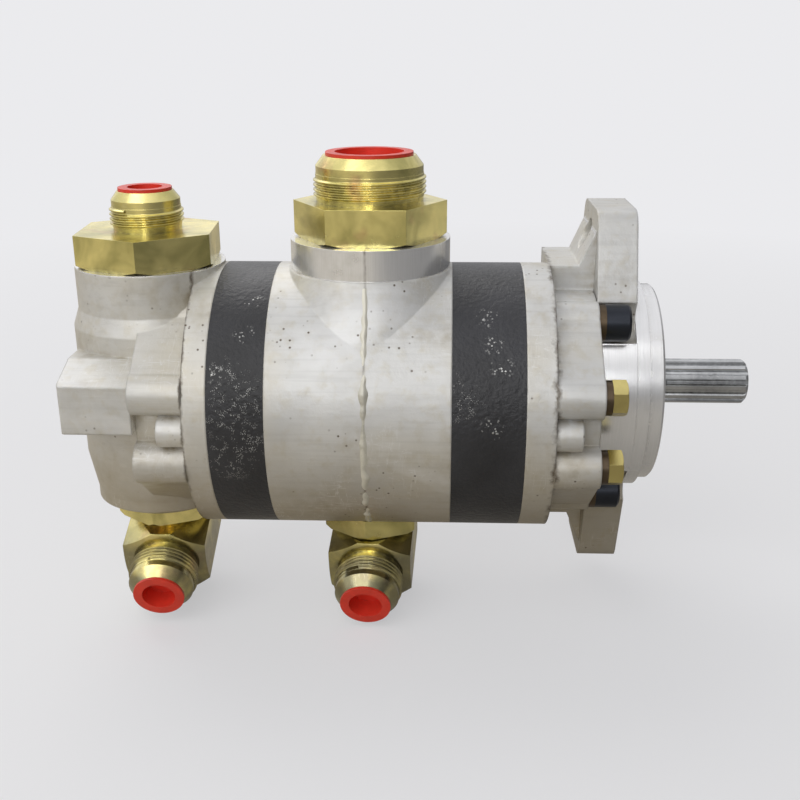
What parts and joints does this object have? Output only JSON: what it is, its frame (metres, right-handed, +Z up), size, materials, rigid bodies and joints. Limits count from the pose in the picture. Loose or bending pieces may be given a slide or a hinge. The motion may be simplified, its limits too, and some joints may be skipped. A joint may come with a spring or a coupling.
{
  "type": "hydraulic gear pump",
  "caption": "Tandem external gear pump with a splined shaft, two-bolt flange, straight inlet adapters on top, elbow outlets below and plastic shipping plugs.",
  "frame": {"origin": "on the drive shaft's axis at the mounting face, at the foot of the pilot", "axes": "+X out along the drive shaft, +Z up through the inlets, -Y towards the driven gears' side, where the outlets point"},
  "size_m": [0.321, 0.1348, 0.2216],
  "materials": {
    "cast_aluminium": "as cast, lightly stained",
    "black_iron": "black paint with small chips",
    "shaft_steel": "turned and ground",
    "bush_bronze": "plain",
    "seal_rubber": "plain",
    "clip_steel": "plain",
    "pale_zinc_steel": "pale yellow zinc",
    "black_oxide_steel": "black oxide",
    "yellow_zinc_steel": "yellow zinc",
    "red_plastic": "moulded"
  },
  "bodies": {
    "housing": {"front_cover": "cast_aluminium", "front_gear_housing": "black_iron", "centre_housing": "cast_aluminium", "rear_gear_housing": "black_iron", "rear_cover": "cast_aluminium", "front_cover_bushes": "bush_bronze", "centre_front_bushes": "bush_bronze", "centre_rear_bushes": "bush_bronze", "rear_cover_bushes": "bush_bronze", "front_wear_plates": "bush_bronze", "rear_wear_plates": "bush_bronze", "section_seals": "seal_rubber", "shaft_seal": "seal_rubber", "seal_retaining_ring": "clip_steel", "dowel_pins": "clip_steel", "hex_tie_bolts": "pale_zinc_steel", "socket_tie_bolts": "black_oxide_steel", "lock_washers": "clip_steel", "front_inlet_adapter": "yellow_zinc_steel", "rear_inlet_adapter": "yellow_zinc_steel", "front_outlet_locknut": "yellow_zinc_steel", "front_outlet_elbow": "yellow_zinc_steel", "rear_outlet_adapter": "yellow_zinc_steel", "rear_outlet_elbow": "yellow_zinc_steel"},
    "drive_train": {"drive_shaft": "shaft_steel", "coupling_sleeve": "shaft_steel", "rear_drive_gear": "shaft_steel"},
    "front_idler": {"front_driven_gear": "shaft_steel"},
    "rear_idler": {"rear_driven_gear": "shaft_steel"},
    "front_inlet_cap": {"front_inlet_plug": "red_plastic"},
    "rear_inlet_cap": {"rear_inlet_plug": "red_plastic"},
    "front_outlet_cap": {"front_outlet_plug": "red_plastic"},
    "rear_outlet_cap": {"rear_outlet_plug": "red_plastic"}
  },
  "joints": [
    {"name": "drive_spin", "type": "hinge", "parent": "housing", "child": "drive_train", "pos_m": [0, 0, 0], "axis": [1, 0, 0], "continuous": true},
    {"name": "front_idler_spin", "type": "hinge", "parent": "housing", "child": "front_idler", "pos_m": [-0.0673, -0.042, 0], "axis": [1, 0, 0], "continuous": true},
    {"name": "rear_idler_spin", "type": "hinge", "parent": "housing", "child": "rear_idler", "pos_m": [-0.17545, -0.042, 0], "axis": [1, 0, 0], "continuous": true},
    {"name": "front_inlet_plug_pull", "type": "slide", "parent": "housing", "child": "front_inlet_cap", "axis": [0, 0, 1], "range_m": [0, 0.03]},
    {"name": "rear_inlet_plug_pull", "type": "slide", "parent": "housing", "child": "rear_inlet_cap", "axis": [0, 0, 1], "range_m": [0, 0.03]},
    {"name": "front_outlet_plug_pull", "type": "slide", "parent": "housing", "child": "front_outlet_cap", "axis": [-0.0495, -0.9442, -0.3256], "range_m": [0, 0.03]},
    {"name": "rear_outlet_plug_pull", "type": "slide", "parent": "housing", "child": "rear_outlet_cap", "axis": [0.033, -0.9449, -0.3256], "range_m": [0, 0.03]}
  ],
  "couplings": [
    {"joint": "front_idler_spin", "follows": "drive_spin", "ratio": -1},
    {"joint": "rear_idler_spin", "follows": "drive_spin", "ratio": -1}
  ]
}
